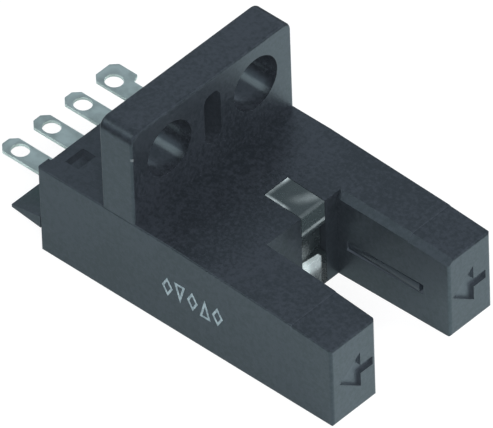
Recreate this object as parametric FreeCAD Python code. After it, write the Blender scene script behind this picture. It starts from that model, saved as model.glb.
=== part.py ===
"""Slotted optical switch: a fork-shaped housing with a mounting flange and four solder terminals.

The origin is on the bottom face, on the centre line, below the front face of the mounting flange.
+X points along the fork to its tips, +Y to the emitter's arm and +Z up, away from the bottom cover.
All sizes are in millimetres.
"""
import FreeCAD, Part
import math
import os

from FreeCAD import Vector

# Body, seen from above as a fork
body_width = 11.9
rear_length = 6.7          # from the flange's front face back to the rear face
fork_length = 13.4         # from the flange's front face forward to the tips
body_height = 5.7
tip_height = 5.15
taper_start = 2.5          # the top is level behind this station and falls towards the tips
shoulder_height = 5.36     # height of the top where the tip blocks begin
shoulder_drop = 0.04       # the tip blocks are this much lower than the arms behind them
tip_block_length = 2.7
edge_radius = 0.18
long_edge_radius = 0.1
rear_corner_radius = 0.09
rear_step = 0.17           # the top's rear edge stands back from the side walls' ends by this much

# Slot between the arms
slot_depth = 7.51
slot_mouth = 5.5
slot_draft = 0.16          # each slot wall leans in by this much between the mouth and the root
slot_offset = 0.08         # of the slot's middle from the centre line, towards the emitter's arm
slot_chamfer = 0.36        # along the top inner edge of the emitter's arm

# Mounting flange
flange_thickness = 2.25
flange_height = 11.6
flange_inset = 0.02
flange_corner_radius = 0.65
flange_edge_radius = 0.16
mount_hole_diameter = 3.2
mount_hole_pitch = 6.4
mount_hole_from_top = 2.5
groove_width = 1.2
groove_length = 3.2
groove_from_top = 1.0
groove_depth = 1.3
groove_corner_radius = 0.5

# Walls and bottom cover
side_wall = 0.8
slot_wall = 0.7
top_wall = 0.9
arm_top_wall = 0.65
cover_thickness = 0.8
cover_ledge = 0.3          # step in the case walls that the cover seats against
fit_clearance = 0.03
overshoot = 1.0            # how far a cutter runs past the surface it opens

# Engraved direction arrows on the tips
arrow_height = 2.53
arrow_length = 2.45
arrow_head_length = 1.55
arrow_head_height = 2.3
arrow_shaft = 0.55
arrow_depth = 0.22
arrow_near_tail = 0.26     # from the tail to the inner edge of the near arm's tip
arrow_far_tail = 0.42      # from the tail to the outer edge of the far arm's tip

# Optical slits in the slot walls, each closed by a window from behind
slit_from_root = 0.61
slit_from_tip = 1.76
slit_height = 0.64
slit_centre_height = 2.24
window_setback = 0.04      # from the slot wall to the crown of a window's bowed face
window_bow = 0.04
window_lip_gap = 0.08      # between a pane and the slit's upper edge
window_tip_gap = 0.24      # between a pane and the slit's end at the tip
window_rim = 0.4
window_rim_thickness = 0.25

# Light guide of the operation indicator, let into the root of the slot
guide_width = 1.78
guide_centre_y = 0.93
guide_length = 2.54
guide_plate = 1.0
guide_leg = 1.4
guide_upper_block = 1.6
guide_lower_block = 2.06
guide_web_setback = 0.4
guide_lip = 0.3
guide_lip_thickness = 0.5

# Terminals
terminal_count = 4
terminal_pitch = 2.33
terminal_width = 1.25
terminal_thickness = 0.2
terminal_offset = -0.07    # of the row of terminals from the centre line
terminal_underside = 2.85
terminal_reach = 4.62      # from the rear face back to the end of a terminal
terminal_lap = 1.2         # length soldered down on the circuit board
terminal_corner = 0.36
terminal_corner_radius = 0.12
eye_length = 1.03
eye_width = 0.95
eye_from_end = 1.04
hook_width = 0.5           # side hook on the last terminal's head
hook_length = 1.65
hook_slope = 0.2

# Terminal base at the rear, with its guide ledge and snap teeth
base_depth = 2.4
ledge_reach = 2.0
ledge_root_bottom = 1.5
ledge_root_top = 2.25
ledge_end_bottom = 1.74
ledge_end_top = 1.92
snap_from_rear = 0.8
snap_length = 0.9
snap_width = 1.3
snap_from_side = 1.2
snap_recess = 0.45

# Circuit board and what it carries
board_thickness = 0.8
board_clearance = 0.2
board_arm_gap = 0.07       # between a board arm and the window beside it
board_gap = 0.1            # between the board and the terminal base
board_front_gap = 0.3      # between the board and the light guide
lead_reach = 0.8           # gap between a board arm's end and its package, bridged by the leads
board_corner_radius = 0.2
board_fork_radius = 0.5
post_diameter = 0.9
package_length = 2.6
package_height = 2.6
package_clearance = 0.08   # below and behind a package
package_corner_radius = 0.2
lens_radius = 0.9
lens_rise = 0.2
lead_width = 0.4
lead_thickness = 0.15
lead_overlap = 0.7
chip_height = 0.45
chip_length = 1.6
chip_width = 0.8
chip_corner_radius = 0.06
chip_row_gap = 2.1         # from the terminals' inner ends to the middle of the row of chips
chip_from_edge = 1.05
chip_spacing = 1.3
indicator_length = 0.8
indicator_width = 1.4
indicator_height = 0.6
transistor_length = 2.6
transistor_width = 1.3
transistor_height = 0.9
transistor_lift = 0.1
transistor_taper = 0.12
foot_reach = 0.5
foot_inset = 0.15
foot_width = 0.4
foot_thickness = 0.25
foot_pitch = 1.8
solder_rise = 0.2
solder_run = 0.4           # length of the solder at a terminal's inner end
solder_width = 0.64

# Derived stations
rear_x = -rear_length
tip_x = fork_length
shoulder_x = tip_x - tip_block_length
root_x = tip_x - slot_depth
near_y = -body_width / 2
far_y = body_width / 2
near_slot_y = slot_offset - slot_mouth / 2
far_slot_y = slot_offset + slot_mouth / 2
narrow_arm_width = min(near_slot_y - near_y, far_y - far_slot_y)
mount_hole_height = flange_height - mount_hole_from_top
groove_top = flange_height - groove_from_top
snap_offset = body_width / 2 - snap_from_side - snap_width / 2
cavity_top = body_height - top_wall
arm_cavity_top = tip_height - arm_top_wall
cavity_front = tip_x - side_wall
near_cavity_y = near_slot_y - slot_wall
far_cavity_y = far_slot_y + slot_wall
slit_x0 = root_x + slit_from_root
slit_x1 = tip_x - slit_from_tip
optical_x = (slit_x0 + slit_x1) / 2
guide_y0 = guide_centre_y - guide_width / 2
guide_y1 = guide_centre_y + guide_width / 2
guide_x0 = root_x - guide_length
yoke_front = root_x - side_wall
board_top = terminal_underside
board_bottom = board_top - board_thickness
base_front = rear_x + base_depth
board_rear = base_front + board_gap
board_front = root_x - guide_leg - board_front_gap
board_near_y = near_y + side_wall + board_clearance
board_far_y = far_y - side_wall - board_clearance
package_depth = (narrow_arm_width - slot_wall - window_rim_thickness - fit_clearance - lens_rise
                 - package_clearance - side_wall)
board_arm_end = optical_x - package_length / 2 - lead_reach


def place(plane, u, v, level=0.0):
    """Turn a point of an outline into space: plane "xy", "xz" or "yz" at the given level."""
    if plane == "xy":
        return Vector(u, v, level)
    if plane == "xz":
        return Vector(u, level, v)
    return Vector(level, u, v)


def rounded_outline(plane, points, radii, level):
    """Closed wire through the points, each corner rounded by its radius (0 leaves it sharp)."""
    count = len(points)
    starts, ends, middles = [], [], []
    for index, (u, v) in enumerate(points):
        corner = Vector(u, v, 0)
        before = (Vector(*points[index - 1], 0) - corner).normalize()
        after = (Vector(*points[(index + 1) % count], 0) - corner).normalize()
        half_angle = before.getAngle(after) / 2
        radius = radii[index]
        run = radius / math.tan(half_angle) if radius else 0.0
        starts.append(corner + before * run)
        ends.append(corner + after * run)
        bisector = (before + after).normalize() if radius else Vector()
        middles.append(corner + bisector * (radius / math.sin(half_angle) - radius))
    edges = []
    for index in range(count):
        start, middle, end = (place(plane, p.x, p.y, level)
                              for p in (starts[index], middles[index], ends[index]))
        if radii[index]:
            edges.append(Part.Arc(start, middle, end).toShape())
        following = starts[(index + 1) % count]
        next_start = place(plane, following.x, following.y, level)
        if end.distanceToPoint(next_start) > 1e-6:
            edges.append(Part.LineSegment(end, next_start).toShape())
    return Part.Wire(edges)


def slab(plane, points, low, high, radius=0.0):
    """Extrude an outline from one level to another. radius is one value or a list, one per corner."""
    radii = radius if isinstance(radius, list) else [radius] * len(points)
    face = Part.Face(rounded_outline(plane, points, radii, low))
    return face.extrude(place(plane, 0, 0, high - low))


def block(x0, x1, y0, y1, z0, z1):
    return Part.makeBox(x1 - x0, y1 - y0, z1 - z0, Vector(x0, y0, z0))


def rectangle(u0, u1, v0, v1):
    return [(u0, v0), (u1, v0), (u1, v1), (u0, v1)]


def union(shapes):
    return shapes[0].multiFuse(shapes[1:]).removeSplitter() if len(shapes) > 1 else shapes[0]


def round_edges(shape, wanted, radius):
    """Fillet the edges that the test picks out."""
    return shape.makeFillet(radius, [edge for edge in shape.Edges if wanted(edge)])


def slot_wall_y(side, x):
    """Y of a slot wall at a station: side -1 is the near wall, +1 the far wall."""
    lean = slot_draft * (tip_x - x) / slot_depth
    return near_slot_y + lean if side < 0 else far_slot_y - lean


def line_height(line, x):
    """Height at a station of the straight line through two points."""
    (x0, z0), (x1, z1) = line
    return z0 + (z1 - z0) * (x - x0) / (x1 - x0)


# Straight top lines of the body: level over the yoke, then falling along the arms and the tip blocks
yoke_top = [(rear_x, body_height), (taper_start, body_height)]
arm_top = [(taper_start, body_height), (shoulder_x, shoulder_height)]
tip_top = [(shoulder_x, shoulder_height - shoulder_drop), (tip_x, tip_height)]


# Case
def body_side(top):
    """Side outline of the body under one of its top lines, with the tip's corners rounded."""
    start = top[0][0]
    points = [(start, 0), (tip_x, 0), (tip_x, line_height(top, tip_x)), (start, top[0][1])]
    return slab("xz", points, near_y, far_y, [0, edge_radius, edge_radius, 0])


def fork_plan():
    """Plan outline: a fork whose slot narrows a little towards its root."""
    points = [(rear_x, near_y), (tip_x, near_y), (tip_x, near_slot_y), (root_x, slot_wall_y(-1, root_x)),
              (root_x, slot_wall_y(1, root_x)), (tip_x, far_slot_y), (tip_x, far_y), (rear_x, far_y)]
    tip_radii = [edge_radius, edge_radius]
    radii = [rear_corner_radius] + tip_radii + [0, 0] + tip_radii + [rear_corner_radius]
    return slab("xy", points, 0, flange_height, radii)


def slot_edge_cut():
    """Chamfer along the top inner edge of the far arm, in two stretches that follow its top."""
    def corner_section(x, z):
        wall = slot_wall_y(1, x)
        points = [(wall - slot_chamfer, z - 2 * slot_chamfer), (wall + slot_chamfer, z),
                  (wall + slot_chamfer, z + slot_chamfer), (wall - slot_chamfer, z + slot_chamfer)]
        return Part.makePolygon([Vector(x, y, h) for y, h in points + points[:1]])
    stretches = [(root_x, line_height(arm_top, root_x), shoulder_x, shoulder_height),
                 (shoulder_x, shoulder_height - shoulder_drop, tip_x, tip_height)]
    return union([Part.makeLoft([corner_section(x0, z0), corner_section(x1, z1)], True, True)
                  for x0, z0, x1, z1 in stretches])


def flange():
    """Upright mounting flange with rounded top corners and softened edges."""
    side = body_width / 2 - flange_inset
    radii = [0, 0, flange_corner_radius, flange_corner_radius]
    points = rectangle(-side, side, cavity_top, flange_height)
    plate = slab("yz", points, -flange_thickness, 0, radii)

    def on_rim(edge):
        box = edge.BoundBox
        return box.XLength < 1e-6 and box.ZMax > cavity_top + 1e-3
    return round_edges(plate, on_rim, flange_edge_radius)


def flange_cuts():
    """Two screw holes and the coring groove between them."""
    start = -flange_thickness - overshoot
    holes = [Part.makeCylinder(mount_hole_diameter / 2, overshoot - start,
                               Vector(start, side * mount_hole_pitch / 2, mount_hole_height),
                               Vector(1, 0, 0)) for side in (-1, 1)]
    outline = rectangle(-groove_width / 2, groove_width / 2, groove_top - groove_length, groove_top)
    return holes + [slab("yz", outline, -groove_depth, overshoot, groove_corner_radius)]


def arrow_cut(tail_y):
    """Engraved arrow on a tip: it points along -Y, the way the light crosses the slot."""
    half_head, half_shaft = arrow_head_height / 2, arrow_shaft / 2
    back_y = tail_y - (arrow_length - arrow_head_length)
    points = [(tail_y, arrow_height - half_shaft), (tail_y, arrow_height + half_shaft),
              (back_y, arrow_height + half_shaft), (back_y, arrow_height + half_head),
              (tail_y - arrow_length, arrow_height), (back_y, arrow_height - half_head),
              (back_y, arrow_height - half_shaft)]
    return slab("yz", points, tip_x - arrow_depth, tip_x + overshoot)


def cavity():
    """Hollow of the case: the yoke, open at the rear, the two arms, and the cover's seat below."""
    yoke = block(rear_x - overshoot, yoke_front, near_y + side_wall, far_y - side_wall, 0, cavity_top)
    near_arm = block(yoke_front - slot_wall, cavity_front, near_y + side_wall, near_cavity_y,
                     0, arm_cavity_top)
    far_arm = block(yoke_front - slot_wall, cavity_front, far_cavity_y, far_y - side_wall,
                    0, arm_cavity_top)
    return union([yoke, near_arm, far_arm, cover_plan(rear_x - overshoot, 0.0)])


def cover_plan(rear, gap):
    """Fork-shaped slab that fills the case's rebate, drawn in by the gap on every side but the rear."""
    margin = side_wall - cover_ledge
    slot_margin = slot_wall - cover_ledge
    front = tip_x - margin - gap
    near, far = near_y + margin + gap, far_y - margin - gap
    near_inner, far_inner = near_slot_y - slot_margin - gap, far_slot_y + slot_margin + gap
    root = root_x - margin - gap
    points = [(rear, near), (front, near), (front, near_inner), (root, near_inner),
              (root, far_inner), (front, far_inner), (front, far), (rear, far)]
    return slab("xy", points, 0, cover_thickness)


def slit_outline(gap=0.0):
    """X and Z limits of an optical slit, drawn in by the gap."""
    half_height = slit_height / 2 - gap
    return slit_x0 + gap, slit_x1 - gap, slit_centre_height - half_height, slit_centre_height + half_height


def slit_cut(side):
    """Optical slit through a slot wall."""
    x0, x1, z0, z1 = slit_outline()
    inner = near_cavity_y if side < 0 else far_cavity_y
    y0, y1 = sorted((inner, inner - side * (slot_wall + overshoot)))
    return block(x0, x1, y0, y1, z0, z1)


def guide_cut():
    """Channel for the light guide, through the top, down the root of the slot and out below."""
    return block(guide_x0, root_x + overshoot, guide_y0, guide_y1, 0, body_height + overshoot)


def snap_windows():
    """Two openings in the top behind the flange, for the terminal base's snap teeth."""
    x0, half_width = rear_x + snap_from_rear, snap_width / 2
    return [block(x0, x0 + snap_length, side * snap_offset - half_width, side * snap_offset + half_width,
                  cavity_top, body_height + overshoot) for side in (-1, 1)]


def rear_edge_cut():
    """Step that sets the top's rear edge back between the two side walls."""
    return block(rear_x - overshoot, rear_x + rear_step, near_y + side_wall, far_y - side_wall,
                 cavity_top, body_height + overshoot)


def body_stretch(top, x0, x1):
    """The part of the body between two stations under a straight top line, its long outer edges rounded."""
    rounding = [0, 0, long_edge_radius, long_edge_radius]
    z0, z1 = line_height(top, x0), line_height(top, x1)
    upper = Part.Face(rounded_outline("yz", rectangle(near_y, far_y, -body_height, z0), rounding, x0))
    lower = slab("yz", rectangle(near_y, far_y, 0, flange_height), x0, x1, rounding[::-1])
    prism = upper.extrude(Vector(x1 - x0, 0, z1 - z0)).common(lower)
    return prism.common(body_side(top)).common(fork_plan())


def make_case():
    stretches = [body_stretch(yoke_top, rear_x, taper_start), body_stretch(arm_top, taper_start, shoulder_x),
                 body_stretch(tip_top, shoulder_x, tip_x)]
    outer = union(stretches + [flange()])
    cuts = flange_cuts() + snap_windows() + [slit_cut(-1), slit_cut(1)]
    cuts += [slot_edge_cut(), rear_edge_cut(), cavity(), guide_cut()]
    cuts += [arrow_cut(near_slot_y - arrow_near_tail), arrow_cut(far_y - arrow_far_tail)]
    return outer.cut(cuts)


# Closing parts
def make_bottom_cover():
    """Fork-shaped cover, notched for the light guide, with posts that carry the circuit board."""
    cover = cover_plan(rear_x, fit_clearance)
    notch = block(guide_x0, root_x, guide_y0, guide_y1, 0, cover_thickness)
    posts = [Part.makeCylinder(post_diameter / 2, board_bottom, Vector(x, y, 0))
             for x in (board_rear + post_diameter, board_front - post_diameter)
             for y in (near_y + side_wall + post_diameter, far_y - side_wall - post_diameter)]
    return union([cover.cut(notch)] + posts)


def make_terminal_base(terminals):
    """Rear insulator: a block in the case's rear opening, snap teeth on top and a tapered ledge."""
    side = body_width / 2 - side_wall - fit_clearance
    body = block(rear_x, base_front, -side, side, cover_thickness, cavity_top - fit_clearance)
    ledge_points = [(rear_x, ledge_root_bottom), (rear_x - ledge_reach, ledge_end_bottom),
                    (rear_x - ledge_reach, ledge_end_top), (rear_x, ledge_root_top)]
    ledge = slab("xz", ledge_points, near_y, far_y)
    tooth_x0 = rear_x + snap_from_rear + fit_clearance
    tooth_x1 = rear_x + snap_from_rear + snap_length - fit_clearance
    half_tooth = snap_width / 2 - fit_clearance
    tooth_top = body_height - snap_recess
    tooth = [(tooth_x0, cavity_top - top_wall), (tooth_x1, cavity_top - top_wall),
             (tooth_x1, cavity_top), (tooth_x0, tooth_top)]
    teeth = [slab("xz", tooth, side * snap_offset - half_tooth, side * snap_offset + half_tooth)
             for side in (-1, 1)]
    return union([body, ledge] + teeth).cut(terminals)


# Light guide and windows
def make_light_guide():
    """C-shaped clear guide: a plate in the top, a leg down the slot's root and a foot below."""
    front, back = root_x, root_x - guide_leg
    web_front = front - guide_web_setback
    upper = body_height - guide_upper_block
    rear = guide_x0 + fit_clearance
    points = [(rear, 0), (front, 0), (front, guide_lower_block), (web_front, guide_lower_block),
              (web_front, upper), (front, upper), (front, line_height(arm_top, front)),
              (rear, line_height(arm_top, rear))]
    bow = slab("xz", points, guide_y0 + fit_clearance, guide_y1 - fit_clearance)
    hollow = block(rear - guide_leg, back, guide_y0, guide_y1, guide_plate, body_height - guide_plate)
    lip_front = yoke_front - fit_clearance
    lips = block(lip_front - guide_lip_thickness, lip_front, guide_y0 - guide_lip, guide_y1 + guide_lip,
                 guide_plate, cavity_top - fit_clearance)
    return union([bow.cut(hollow), lips])


def make_window(side):
    """Window that closes a slit from behind: a pane with a bowed face, on a rim that seats inside."""
    x0, x1, z0, z1 = slit_outline(fit_clearance)
    pane_x1, pane_z1 = x1 - window_tip_gap, z1 - window_lip_gap
    crown = slot_wall_y(side, optical_x) + side * window_setback
    shoulder = crown + side * window_bow
    inner = near_cavity_y if side < 0 else far_cavity_y
    back = inner + side * window_rim_thickness
    low, middle, high = (place("yz", y, z, x0)
                         for y, z in ((shoulder, z0), (crown, (z0 + pane_z1) / 2), (shoulder, pane_z1)))
    bow = Part.Arc(high, middle, low).toShape()
    box = Part.makePolygon([low, place("yz", back, z0, x0), place("yz", back, pane_z1, x0), high])
    pane = Part.Face(Part.Wire([bow] + box.Edges)).extrude(Vector(pane_x1 - x0, 0, 0))
    rim = block(x0 - window_rim, x1 + window_rim, min(inner, back), max(inner, back),
                z0 - window_rim, z1 + window_rim)
    return union([pane, rim])


# Terminals
def terminal_y(index):
    return terminal_offset + (index - (terminal_count - 1) / 2) * terminal_pitch


def make_terminal(index):
    """Flat solder terminal with an oblong eye. The last one has a side hook on its head."""
    y = terminal_y(index)
    half = terminal_width / 2
    end, inner = rear_x - terminal_reach, board_rear + terminal_lap
    corner = terminal_corner
    points = [(end, y - half + corner), (end + corner, y - half), (inner, y - half), (inner, y + half)]
    if index == terminal_count - 1:
        hook = y + half + hook_width
        points += [(end + hook_length + hook_slope, y + half), (end + hook_length, hook),
                   (end + corner, hook), (end, hook - corner)]
    else:
        points += [(end + corner, y + half), (end, y + half - corner)]
    radii = [terminal_corner_radius] * 2 + [0, 0] + [terminal_corner_radius] * (len(points) - 4)
    plate = slab("xy", points, terminal_underside, terminal_underside + terminal_thickness, radii)
    eye_x = end + eye_from_end
    eye_outline = rectangle(eye_x - eye_length / 2, eye_x + eye_length / 2,
                            y - eye_width / 2, y + eye_width / 2)
    eye = slab("xy", eye_outline, terminal_underside - overshoot, terminal_underside + overshoot,
               eye_width / 2)
    return plate.cut(eye)


# Circuit board and components
def make_circuit_board():
    """Fork-shaped board with its arms reaching along the housing's arms."""
    near_inner = near_cavity_y - window_rim_thickness - board_arm_gap
    far_inner = far_cavity_y + window_rim_thickness + board_arm_gap
    points = [(board_rear, board_near_y), (board_arm_end, board_near_y), (board_arm_end, near_inner),
              (board_front, near_inner), (board_front, far_inner), (board_arm_end, far_inner),
              (board_arm_end, board_far_y), (board_rear, board_far_y)]
    end_radii, fork_radii = [board_corner_radius] * 2, [board_fork_radius] * 2
    radii = [0] + end_radii + fork_radii + end_radii + [0]
    return slab("xy", points, board_bottom, board_top, radii)


def package_y(side):
    """Y range of a package: its back lies against the clearance at the arm's outer wall."""
    front = (near_cavity_y if side < 0 else far_cavity_y) + side * (window_rim_thickness + lens_rise)
    front += side * fit_clearance
    return front, front + side * package_depth


def make_package(side):
    """Moulded optical package with a lens dome that faces the slot."""
    front, back = package_y(side)
    low, high = sorted((front, back))
    z0 = cover_thickness + package_clearance
    body = slab("xz", rectangle(optical_x - package_length / 2, optical_x + package_length / 2,
                                z0, z0 + package_height), low, high, package_corner_radius)
    ball_radius = (lens_radius ** 2 + lens_rise ** 2) / (2 * lens_rise)
    centre = Vector(optical_x, front + side * (ball_radius - lens_rise), slit_centre_height)
    dome = Part.makeSphere(ball_radius, centre)
    keep = sorted((front - side * lens_rise * 2, front + side * package_depth / 2))
    column = Part.makeCylinder(lens_radius, keep[1] - keep[0],
                               Vector(optical_x, keep[0], slit_centre_height), Vector(0, 1, 0))
    return union([body, dome.common(column)])


def make_leads(side):
    """Two leads that run back from a package and clasp the board's arm from above and below."""
    middle = sum(package_y(side)) / 2
    start, end = board_arm_end - lead_overlap, optical_x - package_length / 2
    near, far = middle - lead_width / 2, middle + lead_width / 2
    return Part.makeCompound([block(start, end, near, far, board_top, board_top + lead_thickness),
                              block(start, end, near, far, board_bottom - lead_thickness, board_bottom)])


def make_chip(x, y, length=chip_length, width=chip_width, height=chip_height):
    """Small surface-mounted part, standing on the board's top."""
    outline = rectangle(x - length / 2, x + length / 2, y - width / 2, y + width / 2)
    return slab("xy", outline, board_top, board_top + height, chip_corner_radius)


def make_transistor(x, y):
    """Three-lead transistor with a tapered body."""
    def section(inset, height):
        across, along = transistor_width / 2 - inset, transistor_length / 2 - inset
        corners = rectangle(x - across, x + across, y - along, y + along)
        return Part.makePolygon([Vector(u, v, board_top + height) for u, v in corners + corners[:1]])
    body = Part.makeLoft([section(0, transistor_lift), section(transistor_taper, transistor_height)],
                         True, True)
    feet = []
    for way, offset in ((-1, -foot_pitch / 2), (-1, foot_pitch / 2), (1, 0)):
        inner = x + way * (transistor_width / 2 - foot_inset)
        x0, x1 = sorted((inner, x + way * (transistor_width / 2 + foot_reach)))
        feet.append(block(x0, x1, y + offset - foot_width / 2, y + offset + foot_width / 2,
                          board_top, board_top + foot_thickness))
    return union([body] + feet)


def make_terminal_solder():
    """Wedge of solder at the inner end of each terminal."""
    x = board_rear + terminal_lap
    half = terminal_width / 2
    wedges = []
    for index in range(terminal_count):
        y = terminal_y(index)
        points = [(x, board_top), (x + solder_run, board_top), (x, board_top + solder_rise)]
        wedges.append(slab("xz", points, y - half, y + half))
    return Part.makeCompound(wedges)


def make_chip_solder(chips):
    """Solder fillets at both ends of each two-ended chip."""
    fillets = []
    for x, y in chips:
        for way in (-1, 1):
            start = x + way * chip_length / 2
            points = [(start, board_top), (start + way * solder_rise, board_top),
                      (start, board_top + solder_rise)]
            fillets.append(slab("xz", points, y - solder_width / 2, y + solder_width / 2))
    return Part.makeCompound(fillets)


def build():
    terminals = [make_terminal(index) for index in range(terminal_count)]
    chip_x = board_rear + terminal_lap + chip_row_gap
    near_chip_y, far_chip_y = board_near_y + chip_from_edge, board_far_y - chip_from_edge
    chip_places = {"led_resistor": (chip_x, near_chip_y),
                   "indicator_resistor": (chip_x, near_chip_y + chip_spacing),
                   "bypass_capacitor": (chip_x, far_chip_y),
                   "protection_diode": (chip_x, far_chip_y - chip_spacing)}
    parts = {
        "case": make_case(),
        "bottom_cover": make_bottom_cover(),
        "terminal_base": make_terminal_base(terminals),
        "light_guide": make_light_guide(),
        "receiver_window": make_window(-1),
        "emitter_window": make_window(1),
        "circuit_board": make_circuit_board(),
        "receiver": make_package(-1),
        "emitter": make_package(1),
        "receiver_leads": make_leads(-1),
        "emitter_leads": make_leads(1),
        "indicator_led": make_chip(board_front - indicator_length, guide_centre_y,
                                   indicator_length, indicator_width, indicator_height),
        "output_transistor": make_transistor(chip_x, 0.0),
        "terminal_solder": make_terminal_solder(),
        "chip_solder": make_chip_solder(chip_places.values()),
    }
    for index, terminal in enumerate(terminals):
        parts[f"terminal_{index + 1}"] = terminal
    for name, (x, y) in chip_places.items():
        parts[name] = make_chip(x, y)
    return parts


def main():
    os.makedirs("parts", exist_ok=True)
    for name, shape in build().items():
        shape.exportStep(os.path.join("parts", f"{name}.step"))
        print(f"{name}: solids {len(shape.Solids)}, volume {shape.Volume:.2f}, valid {shape.isValid()}")


main()
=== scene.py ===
# %% [markdown]
# # Slotted optical switch
#
# A small black fork of moulded plastic. An infrared beam crosses the slot between its arms, and
# whatever passes through the slot breaks the beam. This lesson dresses the CAD model in Blender:
# it sets up the camera and the light, gives each CAD piece its finish, and models what the CAD
# solids lack, which is the soft edges of the terminals and a few printed marks. Everything is in
# metres, in the CAD model's own frame: +X along the fork, +Y across it and +Z up.

import bmesh
import bpy
from mathutils import Matrix, Vector


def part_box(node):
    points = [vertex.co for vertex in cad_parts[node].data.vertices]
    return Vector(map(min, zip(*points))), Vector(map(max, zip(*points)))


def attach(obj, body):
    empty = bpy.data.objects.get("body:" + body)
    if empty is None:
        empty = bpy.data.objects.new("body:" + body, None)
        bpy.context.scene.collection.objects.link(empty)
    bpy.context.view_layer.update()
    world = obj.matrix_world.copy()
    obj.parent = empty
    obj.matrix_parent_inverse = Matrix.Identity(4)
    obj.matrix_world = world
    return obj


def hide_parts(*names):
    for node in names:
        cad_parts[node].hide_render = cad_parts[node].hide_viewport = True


MM = 0.001
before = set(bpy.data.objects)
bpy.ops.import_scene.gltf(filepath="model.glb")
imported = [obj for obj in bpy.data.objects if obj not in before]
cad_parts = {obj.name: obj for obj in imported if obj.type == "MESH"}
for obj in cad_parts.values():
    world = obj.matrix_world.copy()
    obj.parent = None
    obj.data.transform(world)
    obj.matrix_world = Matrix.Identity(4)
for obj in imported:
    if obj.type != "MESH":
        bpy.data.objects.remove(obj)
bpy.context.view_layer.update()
print("CAD pieces:", len(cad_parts))

# %% [markdown]
# ## Camera
#
# The photograph was taken with a long lens from above and to one side, so its lines stay almost
# parallel. A camera that stands where the photographer's stood can be given by its place and by
# two directions: the one that points right in the picture and the one that points up. The third
# direction is square to both, so it needs no number of its own.

# %% Set up the camera
CAMERA_PLACE = Vector((0.42319, -0.43413, 0.55886))
PICTURE_RIGHT = Vector((0.73459, 0.67798, -0.02698)).normalized()
PICTURE_UP = Vector((-0.44423, 0.51062, 0.73615))
LENS_MM, SENSOR_MM = 1184.6, 36
CLIP_START, CLIP_END = 0.05, 10

picture_back = PICTURE_RIGHT.cross(PICTURE_UP).normalized()
picture_up = picture_back.cross(PICTURE_RIGHT)
turn = Matrix((PICTURE_RIGHT, picture_up, picture_back)).transposed().to_4x4()

camera_data = bpy.data.cameras.new("camera")
camera_data.sensor_width = SENSOR_MM
camera_data.lens = LENS_MM
camera_data.clip_start = CLIP_START
camera_data.clip_end = CLIP_END
camera = bpy.data.objects.new("camera", camera_data)
camera.matrix_world = Matrix.Translation(CAMERA_PLACE) @ turn
bpy.context.scene.collection.objects.link(camera)
bpy.context.scene.camera = camera
bpy.context.scene.view_settings.view_transform = "Standard"
print("Camera looks along", [round(value, 3) for value in -picture_back])

# %% [markdown]
# ## Node helpers
#
# A finish here is a short chain of shader nodes, all procedural. Small helpers keep those chains
# readable: some add a node and feed its inputs, some do arithmetic between nodes, and the last
# ones mark out a place, such as a band along one axis or a box. All patterns use Object
# coordinates, which are the CAD frame itself because every piece sits at the origin, so a feature
# can be placed by its real position. The owner of a node is the material or the world it is in.

# %% Helpers that add nodes
def start_material(name):
    """A new node material: returns it and its Principled shader."""
    material = bpy.data.materials.new(name)
    material.use_nodes = True
    return material, material.node_tree.nodes["Principled BSDF"]


def feed(owner, socket, value):
    """Give a socket a value: another node's output, or a plain number or colour."""
    if isinstance(value, bpy.types.NodeSocket):
        owner.node_tree.links.new(value, socket)
    else:
        socket.default_value = value


def set_inputs(owner, node, **values):
    """Feed a node's inputs by their names, with _ for a space."""
    for name, value in values.items():
        feed(owner, node.inputs[name.replace("_", " ")], value)


def add_node(owner, kind, settings=None, **values):
    """Add a node. The settings are its own properties, and the values go to its inputs."""
    node = owner.node_tree.nodes.new(kind)
    for name, setting in (settings or {}).items():
        setattr(node, name, setting)
    set_inputs(owner, node, **values)
    return node


def place_on_piece(owner):
    """Object coordinates: the place on the piece, in metres."""
    return add_node(owner, "ShaderNodeTexCoord").outputs["Object"]


def split_axes(owner, vector):
    """The three axes of a vector."""
    node = add_node(owner, "ShaderNodeSeparateXYZ", Vector=vector)
    return node.outputs["X"], node.outputs["Y"], node.outputs["Z"]


def noise(owner, where, size_mm, detail=2.0, roughness=0.5):
    """Cloudy noise with features of about this size: returns values around 0.5."""
    node = add_node(owner, "ShaderNodeTexNoise", Vector=where, Scale=1 / (size_mm * MM),
                    Detail=detail, Roughness=roughness)
    return node.outputs["Fac"]


def bump(owner, shader, height, depth_mm, strength=1.0):
    """Feed a bump to the shader: height runs from 0 to 1 and depth says how deep that is."""
    node = add_node(owner, "ShaderNodeBump", Strength=strength, Distance=depth_mm * MM,
                    Height=height)
    set_inputs(owner, shader, Normal=node.outputs["Normal"])


# %% Helpers that calculate
BLACK, WHITE = (0, 0, 0, 1), (1, 1, 1, 1)
NOISE_RANGE = (0.3, 0.7)  # most values of a noise lie in it
MIX_SHARE, MIX_FIRST, MIX_SECOND, MIX_RESULT = 0, 6, 7, 2  # a Mix node's sockets for colours


def calculate(owner, operation, first, *others):
    """Math nodes: the first value with each of the others in turn, or on its own."""
    result = first
    for other in others or (0.0,):
        node = add_node(owner, "ShaderNodeMath", {"operation": operation})
        feed(owner, node.inputs[0], result)
        feed(owner, node.inputs[1], other)
        result = node.outputs[0]
    return result


def multiply(owner, *values):
    """The product of several values."""
    return calculate(owner, "MULTIPLY", *values)


def strongest(owner, *values):
    """The largest of several values."""
    return calculate(owner, "MAXIMUM", *values)


def sum_of_squares(owner, first, second):
    """The square of the distance between two points that lie so far apart along two axes."""
    return calculate(owner, "ADD", multiply(owner, first, first), multiply(owner, second, second))


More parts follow.
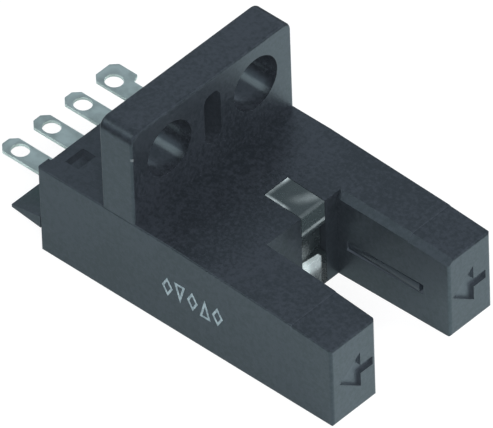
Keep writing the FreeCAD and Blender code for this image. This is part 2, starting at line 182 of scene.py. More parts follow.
def remap(owner, value, ends, start=0.0, end=1.0):
    """Go smoothly from start to end while the value goes from one of the ends to the other."""
    node = add_node(owner, "ShaderNodeMapRange", {"interpolation_type": "SMOOTHSTEP"},
                    Value=value, From_Min=ends[0], From_Max=ends[1], To_Min=start, To_Max=end)
    return node.outputs[0]


def ramp(owner, distance, ends_mm, start=0.0, end=1.0):
    """The same for a distance in metres, with the ends in millimetres."""
    return remap(owner, distance, [station * MM for station in ends_mm], start, end)


def shade(colour, factor=1.0):
    """A colour made lighter or darker, with the alpha that a node wants."""
    return [channel * factor for channel in colour] + [1]


def blend_colours(owner, share, first, second):
    """Mix two colours: share 0 gives the first, 1 the second."""
    node = add_node(owner, "ShaderNodeMix", {"data_type": "RGBA"})
    feed(owner, node.inputs[MIX_SHARE], share)
    feed(owner, node.inputs[MIX_FIRST], first)
    feed(owner, node.inputs[MIX_SECOND], second)
    return node.outputs[MIX_RESULT]


# %% Helpers that mark out a place
def band(owner, distance, low, high, soft):
    """1 between two stations and 0 outside, with soft limits, all in millimetres."""
    rise = ramp(owner, distance, (low - soft, low + soft))
    fall = ramp(owner, distance, (high - soft, high + soft), 1.0, 0.0)
    return multiply(owner, rise, fall)


def inside_box(owner, where, low, high, soft=0.02):
    """1 inside a box given by two corners in millimetres, with soft limits, and 0 outside."""
    limits = zip(split_axes(owner, where), low, high)
    return multiply(owner, *[band(owner, axis, start, end, soft) for axis, start, end in limits])


def zone(owner, axes, level, bands):
    """A place of this level: bands holds low end, high end and softness for some of the axes."""
    limits = [band(owner, axes[name], *ends) for name, ends in bands.items()]
    return multiply(owner, level, *limits)


# %% [markdown]
# ## Special places on the case
#
# The case was moulded in one shot, but a few places on it differ. Its screw holes were formed by
# smooth core pins, and a few pale specks of dust lie on it. One edge has a painted glint: a pale
# spot where light catches it. Such places could be painted on a picture and wrapped around the
# case. Masks made by nodes need no unwrapping and stay sharp from close up. The distance to a
# hole's axis finds its wall, a small box holds the painted glint, and a cell pattern scatters the
# dust.

# %% Screw holes, dust and painted glint
HOLE_OFFSET, HOLE_HEIGHT, HOLE_RADIUS = 3.2 * MM, 9.1 * MM, 1.6 * MM
HOLE_MARGIN = 1.01
DUST_SPACING_MM, DUST_SIZE_MM, DUST_RARITY = 2.6, 0.045, 0.8
# Painted glint: a pale spot where light catches the flange's near front edge
EDGE_GLINT = ((-0.12, -6.0, 9.95), (0.05, -5.8, 10.13), 0.03)  # two corners and softness, millimetres


def hole_mask(material, where):
    """1 on the walls of the two screw holes and 0 elsewhere."""
    _, y, z = split_axes(material, where)
    across = calculate(material, "SUBTRACT", calculate(material, "ABSOLUTE", y), HOLE_OFFSET)
    up = calculate(material, "SUBTRACT", z, HOLE_HEIGHT)
    limit = (HOLE_RADIUS * HOLE_MARGIN) ** 2
    return calculate(material, "LESS_THAN", sum_of_squares(material, across, up), limit)


def dust_specks(material, where):
    """Sparse round specks: 1 inside a speck and 0 elsewhere. Only a few of the cells hold one."""
    cells = add_node(material, "ShaderNodeTexVoronoi", {"feature": "F1"}, Vector=where,
                     Scale=1 / (DUST_SPACING_MM * MM), Randomness=1.0).outputs
    chance = add_node(material, "ShaderNodeSeparateColor", Color=cells["Color"]).outputs["Red"]
    near = calculate(material, "LESS_THAN", cells["Distance"], DUST_SIZE_MM / DUST_SPACING_MM)
    return multiply(material, near, calculate(material, "GREATER_THAN", chance, DUST_RARITY))


def dust_and_glint(material, where):
    """1 on the specks of dust and on the painted glint, and 0 elsewhere."""
    return strongest(material, dust_specks(material, where), inside_box(material, where, *EDGE_GLINT))


print("Screw holes:", round(2 * HOLE_RADIUS / MM, 2), "mm wide")

# %% [markdown]
# ## Haze
#
# No shadow in a photograph is quite black, because the lens spreads a little light over it. A
# filter over the finished picture could copy that, but it would belong to one view only. Here the
# black plastic has a faint glow of its own: a little everywhere, and more inside the narrow
# recesses. A table of boxes lists those, and the slits in the slot's leaning walls have a mask
# that follows the walls.

# %% Haze in the recesses
# The slot: its middle, half its width at the tips, and how fast its walls close in behind them
SLOT_MIDDLE_Y, SLOT_HALF_MOUTH, TIP_X, SLOT_LEAN = 0.08 * MM, 2.75 * MM, 13.4 * MM, 0.0213

# The slits in its walls: low end, high end and softness along each axis, in millimetres
SLIT_X, SLIT_Z, SLIT_DEPTH = (6.3, 12.0, 0.02), (1.7, 2.75, 0.02), (0.015, 2.8, 0.008)
SLIT_FOOT_Z = (2.0, 2.1)
HAZE_LEVEL, SLIT_HAZE, SLIT_FOOT_HAZE = 0.008, 0.02, 0.045

# Boxes as two corners in millimetres, and how much haze lies over what is inside
RECESSES = [
    ((13.1, 3.04, 1.3), (13.37, 5.57, 3.75), 0.02),  # arrow on the far tip
    ((13.1, -5.42, 1.3), (13.37, -2.88, 3.75), 0.02),  # arrow on the near tip
    ((-5.93, 3.4, 4.5), (-4.97, 4.8, 5.67), 0.014),  # far snap window
    ((-5.93, -4.8, 4.5), (-4.97, -3.4, 5.67), 0.014),  # near snap window
    ((-1.4, -0.62, 7.3), (-0.03, 0.62, 10.7), 0.005),  # groove in the flange
    ((10.68, -7.0, 4.9), (10.72, 7.0, 5.5), 0.025),  # step where the tip blocks begin
]


def slit_haze(material, where):
    """The haze in the slits, behind the faces of the slot's leaning walls, and 0 elsewhere."""
    x, y, z = split_axes(material, where)
    from_middle = calculate(material, "SUBTRACT", y, SLOT_MIDDLE_Y)
    from_tip = calculate(material, "SUBTRACT", TIP_X, x)
    closed_in = multiply(material, from_tip, SLOT_LEAN)
    half_slot = calculate(material, "SUBTRACT", SLOT_HALF_MOUTH, closed_in)
    depth = calculate(material, "SUBTRACT", calculate(material, "ABSOLUTE", from_middle),
                      half_slot)
    level = ramp(material, z, SLIT_FOOT_Z, SLIT_FOOT_HAZE, SLIT_HAZE)
    return multiply(material, level, band(material, x, *SLIT_X), band(material, z, *SLIT_Z),
                    band(material, depth, *SLIT_DEPTH))


def haze(material, where):
    """The faint glow at each place: a little everywhere, and more inside the recesses."""
    recesses = [multiply(material, inside_box(material, where, low, high), level)
                for low, high, level in RECESSES]
    return calculate(material, "ADD", HAZE_LEVEL,
                     strongest(material, slit_haze(material, where), *recesses))


print("Recesses with more haze:", len(RECESSES))

# %% [markdown]
# ## Black moulded plastic
#
# The case is glass-filled plastic out of a spark-eroded mould: nearly black, with a fine grain
# that makes its shine broad and soft. Most of the light that it gives back is mirrored, with a
# tint towards cyan, so its look depends on what stands around it. A single colour would look like
# painted card, so the filler's short fibres mottle it and broad flow marks vary its roughness. The
# walls of the screw holes have no grain and a lower roughness. Their upper part mirrors less,
# which leaves one bright line along each hole.

# %% Case plastic
MIRROR_TINT = (0.72, 0.94, 1.0, 1)
HAZE_TINT = (0.76, 0.94, 1.14, 1)
# The pale colour of the dust, also used for the painted glint on one edge
DUST_AND_GLINT_COLOUR, DUST_AND_GLINT_SHARE = (0.25, 0.27, 0.27, 1), 0.5
FLOW_SIZE_MM, FLOW_SHARE, FILLER_SIZE = 3.5, 0.35, 1.6
MOTTLE_RANGE, MOTTLE_DARKER, MOTTLE_LIGHTER = (0.38, 0.62), 0.55, 1.6
GRAIN_DEPTH_MM = 0.006
BORE_ROUGHNESS, BORE_DIMMING, BORE_DIMMING_Z = 0.2, 0.5, (8.2, 8.7)


def moulded_plastic(name, colour, grain_mm, rough):
    """Dark moulded plastic with grain, flow marks, a little dust and a painted glint on one edge.
    """
    material, shader = start_material(name)
    where = place_on_piece(material)
    height = split_axes(material, where)[2]
    in_hole = hole_mask(material, where)

    flow = noise(material, where, FLOW_SIZE_MM, detail=3.0)
    filler = noise(material, where, grain_mm * FILLER_SIZE, roughness=0.7)
    mottle = calculate(material, "ADD", multiply(material, flow, FLOW_SHARE),
                       multiply(material, filler, 1 - FLOW_SHARE))
    body = blend_colours(material, remap(material, mottle, MOTTLE_RANGE),
                         shade(colour, MOTTLE_DARKER), shade(colour, MOTTLE_LIGHTER))
    # Dust and a painted glint on one edge, both pale
    pale = multiply(material, dust_and_glint(material, where), DUST_AND_GLINT_SHARE)

    dimming = ramp(material, height, BORE_DIMMING_Z, 0.0, BORE_DIMMING)
    mirrored = calculate(material, "SUBTRACT", 1.0, multiply(material, in_hole, dimming))
    uneven = remap(material, flow, NOISE_RANGE, rough - 0.03, rough + 0.04)
    polish = multiply(material, in_hole, rough - BORE_ROUGHNESS)
    set_inputs(material, shader, Base_Color=blend_colours(material, pale, body, DUST_AND_GLINT_COLOUR),
               Specular_IOR_Level=mirrored, Specular_Tint=MIRROR_TINT,
               Roughness=calculate(material, "SUBTRACT", uneven, polish),
               Emission_Color=HAZE_TINT, Emission_Strength=haze(material, where))

    grain = noise(material, where, grain_mm, detail=3.0, roughness=0.6)
    outside_holes = calculate(material, "SUBTRACT", 1.0, in_hole)
    bump(material, shader, multiply(material, grain, outside_holes), GRAIN_DEPTH_MM)
    return material


case_plastic = moulded_plastic("case plastic", (0.014, 0.0155, 0.0197), grain_mm=0.14, rough=0.37)
cover_plastic = moulded_plastic("cover plastic", (0.017, 0.019, 0.024), grain_mm=0.16, rough=0.46)
print("Plastics:", case_plastic.name, "and", cover_plastic.name)

# %% [markdown]
# ## Tinned metal
#
# The terminals are stamped from strip and dipped in tin. Tin is a soft grey metal with a dull,
# slightly clouded shine. A metallic shader with a middling roughness gives it, varied by a broad
# noise for the clouds and a fine one for the skin of the tin, which also breaks the bump. Cut
# edges are found by the direction of their normals, and are made less metallic, so they look
# paler.

# %% Tinned terminals and leads
CLOUD_RANGE, CLOUD_DARKER = (0.35, 0.7), 0.8
EDGE_RANGE, EDGE_METALLIC = (0.3, 0.8), 0.35


def tinned_metal(name, colour, rough):
    """Dull grey metal, paler on its cut edges."""
    material, shader = start_material(name)
    where = place_on_piece(material)
    clouds = noise(material, where, size_mm=0.9, detail=3.0)
    tone = blend_colours(material, remap(material, clouds, CLOUD_RANGE),
                         shade(colour), shade(colour, CLOUD_DARKER))
    normal = add_node(material, "ShaderNodeNewGeometry").outputs["Normal"]
    level_face = calculate(material, "ABSOLUTE", split_axes(material, normal)[2])
    cut_edge = remap(material, level_face, EDGE_RANGE, 1.0, 0.0)
    set_inputs(material, shader, Base_Color=tone,
               Metallic=remap(material, cut_edge, (0.0, 1.0), 1.0, EDGE_METALLIC),
               Roughness=remap(material, clouds, NOISE_RANGE, rough - 0.06, rough + 0.08))
    bump(material, shader, noise(material, where, size_mm=0.08), depth_mm=0.003)
    return material


tinned = tinned_metal("tinned metal", (0.74, 0.89, 0.83), rough=0.46)
solder = tinned_metal("solder", (0.7, 0.71, 0.72), rough=0.28)
print("Metals:", tinned.name, "and", solder.name)

# %% [markdown]
# ## Clear plastic
#
# The light guide is clear plastic that brings the indicator's light out to the top and the slot.
# Over a dark inside it looks dark itself, but its rims, its bend and its foot gather the light of
# the table and look pale. Tracing that light through real glass would take many samples, so a
# mask paints it instead: painted light on the rims, the bend and the foot, and painted shade
# low down. The mask is built from bands along the axes, and drives the colour and the
# transmission. The foot has a painted glow as well.

# %% Light guide
# Places on the guide with painted light: for each axis that bounds them, low end, high end and
# softness in millimetres. The patch and the foot have slanted limits, so each has an axis of its
# own, which is x less this share of y.
PATCH_SLANT, FOOT_SLANT = 0.5, 0.1
TOP = {"z": (5.5, 9.0, 0.1)}
REAR_RIM = {"x": (3.0, 3.52, 0.16)}
FOOT = {"foot": (5.53, 9.0, 0.03), "y": (-1.0, 1.42, 0.07), "z": (-1.0, 2.2, 0.05)}

# The same for places that have one level all over, which comes first. Each holds painted light,
# the edge line a painted highlight, and the dark part painted shade
NEAR_RIM = (0.5, {"x": (3.0, 4.9, 0.3), "y": (-0.2, 0.2, 0.1)})
FAR_CORNER = (0.35, {"y": (1.2, 3.0, 0.4)})
PATCH = (0.25, {"patch": (4.15, 4.72, 0.32), "y": (0.8, 2.1, 0.45)})
FRONT_RIM = (0.12, {"x": (5.7, 6.2, 0.08)})
EDGE_LINE = (0.36, {"z": (4.3, 4.52, 0.05)})
ABOVE_FOOT = (0.2, {"y": (-1.0, 0.8, 0.35), "z": (2.0, 3.0, 0.35)})
# Painted shade over the guide's lower part
PAINTED_SHADE_PART = (1.0, {"z": (-1.0, 4.25, 0.05)})

# Where the foot's painted light and its painted glow change, in millimetres, and from what to what
FOOT_LEVEL_Z, FOOT_LEVELS = (0.95, 1.6), (0.3, 0.9)
FOOT_GLOW_Y, FOOT_GLOWS = (0.35, 0.75), (0.42, 0.1)
REAR_RIM_LEVEL = 0.3

# How uneven the painted light is, the roughness, and the transmission without and with painted
# light
LIGHT_UNEVENNESS, GUIDE_ROUGHNESS, TRANSMISSION = (0.7, 1.15), (0.22, 0.34), (0.4, 0.1)
# The colour of the painted light, and of the painted glow in the foot
PAINTED_LIGHT_COLOUR, GLOWING = (0.88, 1.0, 1.0, 1), (0.86, 1.0, 1.0, 1)
# The clear colour, and a darker one for the painted shade low down
CLEAR_ABOVE, CLEAR_IN_PAINTED_SHADE = (0.07, 0.095, 0.1, 1), (0.05, 0.065, 0.07, 1)


def guide_axes(material, where):
    """The axes that the places on the guide are bounded by."""
    x, y, z = split_axes(material, where)
    patch = calculate(material, "SUBTRACT", x, multiply(material, y, PATCH_SLANT))
    foot = calculate(material, "SUBTRACT", x, multiply(material, y, FOOT_SLANT))
    return {"x": x, "y": y, "z": z, "patch": patch, "foot": foot}


def painted_light_places(material, where, axes):
    """How much painted light the guide has at each place, and the part of it that comes from the
    foot.
    """
    far_corner = zone(material, axes, *FAR_CORNER)
    rear_level = calculate(material, "ADD", far_corner, REAR_RIM_LEVEL)
    rims = strongest(material, zone(material, axes, rear_level, REAR_RIM),
                     zone(material, axes, *NEAR_RIM), zone(material, axes, *PATCH),
                     zone(material, axes, *FRONT_RIM))
    upper = strongest(material, zone(material, axes, rims, TOP),
                      zone(material, axes, *EDGE_LINE))
    clouds = noise(material, where, size_mm=0.7, detail=3.0)
    # Painted light, made uneven by a noise
    uneven_light = multiply(material, upper, remap(material, clouds, NOISE_RANGE, *LIGHT_UNEVENNESS))
    foot_level = ramp(material, axes["z"], FOOT_LEVEL_Z, *FOOT_LEVELS)
    foot = strongest(material, zone(material, axes, foot_level, FOOT),
                     zone(material, axes, *ABOVE_FOOT))
    return strongest(material, uneven_light, foot), foot


def clear_plastic(name):
    """Clear plastic with painted light where it gathers the light of the table, and painted shade
    low down.
    """
    material, shader = start_material(name)
    where = place_on_piece(material)
    axes = guide_axes(material, where)
    painted_light, foot = painted_light_places(material, where, axes)
    # Painted shade: the clear colour is darker low down
    clear_colour = blend_colours(material, zone(material, axes, *PAINTED_SHADE_PART),
                                 CLEAR_ABOVE, CLEAR_IN_PAINTED_SHADE)
    # A painted glow in the foot, fading across it
    glow = ramp(material, axes["y"], FOOT_GLOW_Y, *FOOT_GLOWS)
    unevenness = noise(material, where, size_mm=0.5)
    # The painted light pales the colour and lowers the transmission, and the foot glows
    set_inputs(material, shader, IOR=1.5,
               Base_Color=blend_colours(material, painted_light, clear_colour, PAINTED_LIGHT_COLOUR),
               Transmission_Weight=remap(material, painted_light, (0.0, 1.0), *TRANSMISSION),
               Roughness=remap(material, unevenness, NOISE_RANGE, *GUIDE_ROUGHNESS),
               Emission_Color=GLOWING, Emission_Strength=multiply(material, foot, foot, glow))
    bump(material, shader, noise(material, where, size_mm=0.6, detail=1.0), depth_mm=0.012)
    return material


clear = clear_plastic("clear plastic")
print("Light guide:", clear.name)

# %% [markdown]
# ## Dyed plastic and resin
#
# The two windows are dyed so dark that only infrared light passes: to the eye they are as black as
# the case, but smoother. The emitter, the receiver and their neighbours are cast in dyed resin of
# other colours. Resin lets a little light in, but these pieces are tiny and hidden, so a solid
# colour under a glossy skin does for all of them, and one helper makes it.

# %% Windows and packages
DYED_TINT, DYED_LIGHTER = (0.8, 0.95, 1.0, 1), 1.5


def dyed_plastic(name, colour, rough, specular=0.5):
    """Glossy plastic or resin, dyed right through."""
    material, shader = start_material(name)
    where = place_on_piece(material)
    clouds = noise(material, where, size_mm=1.1)
    tone = blend_colours(material, clouds, shade(colour), shade(colour, DYED_LIGHTER))
    set_inputs(material, shader, Base_Color=tone, Specular_IOR_Level=specular,
               Specular_Tint=DYED_TINT,
               Roughness=remap(material, clouds, NOISE_RANGE, rough - 0.04, rough + 0.05))
    bump(material, shader, noise(material, where, size_mm=0.15), depth_mm=0.002)
    return material


window_filter = dyed_plastic("window filter", (0.022, 0.027, 0.034), rough=0.3, specular=1.0)
package_resin = dyed_plastic("package resin", (0.02, 0.018, 0.022), rough=0.3)
emitter_resin = dyed_plastic("emitter resin", (0.12, 0.2, 0.3), rough=0.15)
indicator_resin = dyed_plastic("indicator resin", (0.4, 0.39, 0.33), rough=0.25)
print("Dyed:", window_filter.name, package_resin.name, emitter_resin.name, indicator_resin.name,
      sep=", ")

# %% [markdown]
# ## Circuit board and chips
#
# The board can't be seen in the finished switch, but it shows when the pieces are taken apart. Its
# solder mask lies over copper tracks, which show as slightly paler strips. A brick pattern with a
# stretched scale gives strips with breaks in them. The chips are dark ceramic with tinned ends:
# their ends are found by distance from the chips' row.

# %% Board and chips
LACQUER, LACQUER_PALER = (0.008, 0.06, 0.03, 1), (0.012, 0.085, 0.042, 1)
TRACK, TRACK_PATTERN_MM = (0.03, 0.16, 0.07, 1), 3
GLAZE, GLAZE_PALER = (0.01, 0.01, 0.012, 1), (0.03, 0.03, 0.034, 1)
CHIP_TIN, CHIP_ROW_X, CHIP_END = (0.62, 0.63, 0.62, 1), -0.9 * MM, 0.55 * MM


def solder_mask(name):
    """Green lacquer over copper tracks."""
    material, shader = start_material(name)
    where = place_on_piece(material)
    tracks = add_node(material, "ShaderNodeTexBrick", {"offset": 0.35}, Vector=where,
                      Scale=1 / (TRACK_PATTERN_MM * MM), Mortar_Size=0.02, Mortar_Smooth=0.4,
                      Brick_Width=0.9, Row_Height=0.25, Color1=BLACK, Color2=BLACK,
                      Mortar=WHITE).outputs
    weave = noise(material, where, size_mm=0.25)
    lacquer = blend_colours(material, weave, LACQUER, LACQUER_PALER)
    set_inputs(material, shader,
               Base_Color=blend_colours(material, tracks["Color"], lacquer, TRACK),
               Roughness=remap(material, weave, NOISE_RANGE, 0.28, 0.4))
    bump(material, shader, tracks["Fac"], depth_mm=0.02, strength=0.6)
    return material


def chip_ceramic(name):
    """Dark glazed ceramic with tinned ends."""
    material, shader = start_material(name)
    where = place_on_piece(material)
    from_row = calculate(material, "SUBTRACT", split_axes(material, where)[0], CHIP_ROW_X)
    at_end = calculate(material, "GREATER_THAN", calculate(material, "ABSOLUTE", from_row),
                       CHIP_END)
    grit = noise(material, where, size_mm=0.06)
    glaze = blend_colours(material, grit, GLAZE, GLAZE_PALER)
    set_inputs(material, shader, Base_Color=blend_colours(material, at_end, glaze, CHIP_TIN),
               Metallic=at_end, Roughness=remap(material, grit, NOISE_RANGE, 0.3, 0.42))
    bump(material, shader, grit, depth_mm=0.004)
    return material


board_laminate = solder_mask("board laminate")
chips = chip_ceramic("chip ceramic")
print("Board and chips:", board_laminate.name, "and", chips.name)

# %% [markdown]
# ## A finish for each piece
#
# A CAD piece keeps its mesh as it is and only takes a new material. A table says which, so that
# the whole switch can be read at a glance and another colour is one changed word.

# %% Give the CAD pieces their finishes
FINISHES = {
    "case": case_plastic,
    "terminal_base": case_plastic,
    "bottom_cover": cover_plastic,
    "light_guide": clear,
    "emitter_window": window_filter,
    "receiver_window": window_filter,
    "circuit_board": board_laminate,
    "emitter": emitter_resin,
    "receiver": package_resin,
    "output_transistor": package_resin,
    "emitter_leads": tinned,
    "receiver_leads": tinned,
    "indicator_led": indicator_resin,
    "led_resistor": chips,
    "indicator_resistor": chips,
    "bypass_capacitor": chips,
    "protection_diode": chips,
    "terminal_solder": solder,
    "chip_solder": solder,
    "terminal_1": tinned,
    "terminal_2": tinned,
    "terminal_3": tinned,
    "terminal_4": tinned,
}
for name, material in FINISHES.items():
    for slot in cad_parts[name].material_slots:
        slot.material = material
print("Finished CAD pieces:", len(FINISHES))

# %% [markdown]
# ## Terminals with soft edges
#
# A stamped terminal isn't knife-sharp: the punch rolls its upper edge and the tin rounds the rest,
# and that narrow round edge is what catches the light. The CAD solid is left as it is. A copy of
# its mesh is merged, its flat faces are joined, and the bevel operator rounds every sharp edge by
# a few hundredths of a millimetre.

# %% Rounded copies of CAD pieces
SHARP_ANGLE, FLAT_ANGLE = 0.6, 0.02
MERGE_DISTANCE = 0.0005 * MM
TERMINAL_ROUNDING_MM = 0.03
BEVEL_SEGMENTS = 2
CUBIC_MM = 1e9  # in a cubic metre


def mesh_object(name, bm, material):
    """Turn a bmesh into a piece that rides on the body."""
    mesh = bpy.data.meshes.new(name)
    bm.to_mesh(mesh)
    bm.free()
    mesh.materials.append(material)
    piece = bpy.data.objects.new(name, mesh)
    bpy.context.scene.collection.objects.link(piece)
    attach(piece, "root")
    return piece


def rounded_copy(node_name, name, radius_mm, material):
    """A copy of a CAD piece with its sharp edges rounded, in place of the piece itself."""
    bm = bmesh.new()
    bm.from_mesh(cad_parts[node_name].data)
    bmesh.ops.remove_doubles(bm, verts=bm.verts, dist=MERGE_DISTANCE)
    bmesh.ops.dissolve_limit(bm, angle_limit=FLAT_ANGLE, verts=bm.verts, edges=bm.edges,
                             use_dissolve_boundaries=False)
    sharp = [edge for edge in bm.edges
             if edge.is_manifold and edge.calc_face_angle(0) > SHARP_ANGLE]
    bmesh.ops.bevel(bm, geom=sharp, offset=radius_mm * MM, offset_type="OFFSET",
                    segments=BEVEL_SEGMENTS, profile=0.5, affect="EDGES", material=-1,
                    clamp_overlap=True)
    for face in bm.faces:
        face.smooth = True
    print(name, "faces:", len(bm.faces),
          "volume, cubic mm:", round(bm.calc_volume() * CUBIC_MM, 3))
    piece = mesh_object(name, bm, material)
    piece.data.set_sharp_from_angle(angle=SHARP_ANGLE)
    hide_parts(node_name)


for number in range(1, 5):
    rounded_copy(f"terminal_{number}", f"tinned_terminal_{number}", TERMINAL_ROUNDING_MM,
                 tinned)

# %% [markdown]
# ## Printed marks
#
# A short row of lozenges and triangles is pad-printed on the near side in pale ink. Ink that has
# been pressed on stands a few thousandths of a millimetre proud with a crisp edge, so each mark is
# a thin slab: a polygon from a create operator, opened by an inset, extruded outwards and stood on
# the wall.

# %% Pad-printed marks
NEAR_SIDE_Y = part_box("case")[0].y
MARK_ROW_Z, MARK_START_X, MARK_STEP = 2.8 * MM, 2.15 * MM, 0.86 * MM
MARK_WIDTH, MARK_HEIGHT, MARK_STROKE = 0.74 * MM, 1.25 * MM, 0.13 * MM
INK_THICKNESS = 0.006 * MM
INK, INK_WORN, WEAR_RANGE = (0.42, 0.53, 0.55, 1), (0.25, 0.33, 0.35, 1), (0.35, 0.7)
INK_ROUGHNESS = 0.55
HALF_TURN = 3.14159265  # radians

# Each mark's name, its corners and whether it is turned by half a turn, from left to right
MARKS = [
    ("printed_lozenge_1", 4, False),
    ("printed_triangle_1", 3, True),
    ("printed_lozenge_2", 4, False),
    ("printed_triangle_2", 3, False),
    ("printed_lozenge_3", 4, False),
]


def pale_ink(name):
    """Pale ink that is a little worn."""
    material, shader = start_material(name)
    wear = noise(material, place_on_piece(material), size_mm=0.2, detail=3.0)
    tone = blend_colours(material, remap(material, wear, WEAR_RANGE), INK, INK_WORN)
    set_inputs(material, shader, Base_Color=tone, Roughness=INK_ROUGHNESS)
    bump(material, shader, wear, depth_mm=0.002)
    return material


def mark_outline(bm, corners, half_turn):
    """A hollow flat mark in the XY plane, centred on the origin."""
    verts = bmesh.ops.create_circle(bm, cap_ends=True, radius=1.0, segments=corners)["verts"]
    if half_turn:
        bmesh.ops.transform(bm, matrix=Matrix.Rotation(HALF_TURN, 4, "Z"), verts=verts)
    xs, ys = [vert.co.x for vert in verts], [vert.co.y for vert in verts]
    middle = Vector(((max(xs) + min(xs)) / 2, (max(ys) + min(ys)) / 2, 0))
    stretch = (MARK_WIDTH / (max(xs) - min(xs)), MARK_HEIGHT / (max(ys) - min(ys)), 1)
    bmesh.ops.translate(bm, vec=-middle, verts=verts)
    bmesh.ops.scale(bm, vec=stretch, verts=verts)
    inner = bm.faces[:]
    bmesh.ops.inset_region(bm, faces=inner, thickness=MARK_STROKE, use_even_offset=True,
                           use_boundary=True)
    bmesh.ops.delete(bm, geom=inner, context="FACES")


def print_mark(name, place, corners, half_turn, material):
    """Build a mark flat, thicken it and stand it on the near side."""
    bm = bmesh.new()
    mark_outline(bm, corners, half_turn)
    raised = bmesh.ops.extrude_face_region(bm, geom=bm.faces[:])
    moved = [item for item in raised["geom"] if isinstance(item, bmesh.types.BMVert)]
    bmesh.ops.translate(bm, vec=(0, 0, INK_THICKNESS), verts=moved)
    bmesh.ops.recalc_face_normals(bm, faces=bm.faces)
    stand_up = Matrix.Rotation(HALF_TURN / 2, 4, "X")
    at = Matrix.Translation((MARK_START_X + place * MARK_STEP, NEAR_SIDE_Y, MARK_ROW_Z))
    bmesh.ops.transform(bm, matrix=at @ stand_up, verts=bm.verts)
    mesh_object(name, bm, material)


ink = pale_ink("pale ink")
for place, (name, corners, half_turn) in enumerate(MARKS):
    print_mark(name, place, corners, half_turn, ink)
print("Printed marks:", len(MARKS))

# %% [markdown]
# ## Floor
#
# The switch lies on a white table. What makes black plastic readable is what it mirrors: its
# upright faces mirror the table and look grey, and its top mirrors the dim room and stays dark. So
# the camera sees a pure white table, while mirrored rays see a pool of light on it: brightest past
# the tips and on the far side, dimmer in front of the near side and inside the slot, and dark
# further off. For the light on the object itself the table is plain white. From below it is clear,
# so that the underside can be looked at.

# %% Floor
FLOOR_SIZE, FLOOR_GAP = 1.6, 0.02 * MM
PAPER, PAPER_SIZE_MM = (0.98, 0.98, 0.98, 1), 40
PLAIN_TABLE = (0.85, 0.85, 0.85, 1)
SEEN_GLOW, SEEN_SHARE = 0.9, 0.2
MIRRORED_GLOW, MIRRORED_SHARE, MIRRORED_TINT = 0.57, 0.5, (0.9, 1.0, 1.02)

# The pool of light: where each of its soft limits lies, in millimetres, and how bright it is
NEAR_LIMIT_Y, TIPS_LIMIT_X, FAR_LIMIT_Y = (-6.3, -5.3), (12.9, 13.6), (3.5, 8.0)
DISTANCE_FADE = (22, 48)
SLOT_LEVEL, POOL_EDGE, FAR_OFF_LEVEL = 0.12, 0.4, 0.08


def glowing_surface(material, colour, glow, share):
    """A surface that glows by itself and shows a share of the light on it, shadows included."""
    emission = add_node(material, "ShaderNodeEmission", Color=colour, Strength=glow)
    lit = add_node(material, "ShaderNodeBsdfDiffuse", Color=share)
    both = add_node(material, "ShaderNodeAddShader")
    feed(material, both.inputs[0], emission.outputs[0])
    feed(material, both.inputs[1], lit.outputs[0])
    return both.outputs[0]


def mix_shaders(material, share, first, second):
    """Mix two shaders: share 0 gives the first, 1 the second."""
    node = add_node(material, "ShaderNodeMixShader", Fac=share)
    feed(material, node.inputs[1], first)
    feed(material, node.inputs[2], second)
    return node.outputs[0]


def pool_of_light(material, where):
    """How bright the mirrored table is at each place, and what the distance alone leaves."""
    x, y, _ = split_axes(material, where)
    brighter = strongest(material, ramp(material, x, TIPS_LIMIT_X),
                         ramp(material, y, FAR_LIMIT_Y), SLOT_LEVEL)
    lit = multiply(material, ramp(material, y, NEAR_LIMIT_Y), brighter)
    away = calculate(material, "POWER", sum_of_squares(material, x, y), 0.5)
    fade = ramp(material, away, DISTANCE_FADE, 1.0, FAR_OFF_LEVEL)
    pool = multiply(material, remap(material, lit, (0.0, 1.0), POOL_EDGE, 1.0), fade)
    return pool, fade


def table_surface(name):
    """White to the camera, a pool of light to mirrored rays, and clear from below."""
    material, shader = start_material(name)
    nodes = material.node_tree.nodes
    nodes.remove(shader)
    where = place_on_piece(material)
    white = blend_colours(material, noise(material, where, PAPER_SIZE_MM), PAPER, WHITE)
    seen = glowing_surface(material, white, SEEN_GLOW, shade((1, 1, 1), SEEN_SHARE))

    pool, fade = pool_of_light(material, where)
    pool_colour = blend_colours(material, pool, BLACK, shade(MIRRORED_TINT))
    lit_share = blend_colours(material, fade, BLACK, shade(MIRRORED_TINT, MIRRORED_SHARE))
    mirrored = glowing_surface(material, pool_colour, MIRRORED_GLOW, lit_share)

    plain = add_node(material, "ShaderNodeBsdfDiffuse", Color=PLAIN_TABLE).outputs[0]
    see_through = add_node(material, "ShaderNodeBsdfTransparent").outputs[0]
    ray = add_node(material, "ShaderNodeLightPath").outputs
    below = add_node(material, "ShaderNodeNewGeometry").outputs["Backfacing"]
    by_mirror = strongest(material, ray["Is Glossy Ray"], ray["Is Transmission Ray"])
    unseen = mix_shaders(material, by_mirror, plain, mirrored)
    from_above = mix_shaders(material, ray["Is Camera Ray"], unseen, seen)
    set_inputs(material, nodes["Material Output"],
               Surface=mix_shaders(material, below, from_above, see_through))
    return material


floor_bm = bmesh.new()
bmesh.ops.create_grid(floor_bm, x_segments=1, y_segments=1, size=FLOOR_SIZE / 2)
bmesh.ops.translate(floor_bm, vec=(0, 0, -FLOOR_GAP), verts=floor_bm.verts)
floor_mesh = bpy.data.meshes.new("floor")
floor_bm.to_mesh(floor_mesh)
floor_bm.free()
floor_mesh.materials.append(table_surface("table surface"))
floor = bpy.data.objects.new("floor", floor_mesh)
bpy.context.scene.collection.objects.link(floor)
print("Floor:", FLOOR_SIZE, "m wide")

# %% [markdown]
# ## Room
#
# The room is what the top of the switch mirrors, and it also lights the whole switch softly. A
# picture of a studio could surround the scene, but on such small flat faces a gradient looks the
# same. It is dark at the horizon, brightest half-way up and dimmer overhead. The camera sees plain
# white instead.

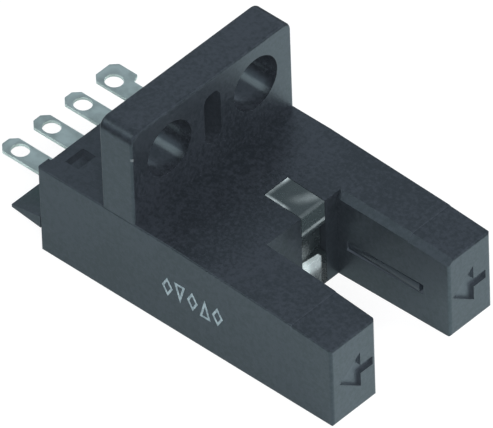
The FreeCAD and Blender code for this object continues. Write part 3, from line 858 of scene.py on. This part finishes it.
# %% Room
ROOM_COLOUR = (0.86, 0.93, 1.06, 1)
HORIZON_LEVEL, MIDDLE_LEVEL, OVERHEAD_SHARE = 0.1, 0.62, 0.48
# Where the room gets brighter and where dimmer: 0 is the horizon and 1 is overhead
BRIGHTER, DIMMER = (0.1, 0.5), (0.54, 0.66)

world = bpy.data.worlds.new("room")
bpy.context.scene.world = world
world.use_nodes = True
height = split_axes(world, add_node(world, "ShaderNodeTexCoord").outputs["Generated"])[2]
level = multiply(world, remap(world, height, BRIGHTER, HORIZON_LEVEL, MIDDLE_LEVEL),
                 remap(world, height, DIMMER, 1.0, OVERHEAD_SHARE))
to_camera = add_node(world, "ShaderNodeLightPath").outputs["Is Camera Ray"]
set_inputs(world, world.node_tree.nodes["Background"],
           Strength=remap(world, to_camera, (0.0, 1.0), level, 1.0),
           Color=blend_colours(world, to_camera, ROOM_COLOUR, WHITE))
print("Room levels:", HORIZON_LEVEL, MIDDLE_LEVEL, round(MIDDLE_LEVEL * OVERHEAD_SHARE, 3))

# %% [markdown]
# ## Lamps
#
# Two large soft lamps shape the switch with light and shade. Highlights would betray them on the
# flat faces, so they aren't mirrored. A small third lamp is: it puts the bright line into each
# screw hole.

# %% Lamps
def add_lamp(name, direction, distance, size, watts, mirrored=True):
    """A round soft lamp that shines at the switch. One that isn't mirrored makes no highlight."""
    data = bpy.data.lights.new(name, "AREA")
    data.shape = "DISK"
    data.size = size
    data.energy = watts
    lamp = bpy.data.objects.new(name, data)
    towards = Vector(direction).normalized()
    lamp.location = towards * distance
    lamp.rotation_mode = "QUATERNION"
    lamp.rotation_quaternion = towards.to_track_quat("Z", "Y")
    lamp.visible_glossy = mirrored
    bpy.context.scene.collection.objects.link(lamp)


add_lamp("key_lamp", (0.72, 0.5, 0.48), distance=0.6, size=0.35, watts=2.4, mirrored=False)
add_lamp("fill_lamp", (0.513, -0.529, 0.676), distance=0.8, size=0.3, watts=3.4, mirrored=False)
add_lamp("hole_lamp", (-0.513, -0.529, 0.676), distance=0.45, size=0.17, watts=0.1)
print("Lamps:", len(bpy.data.lights))
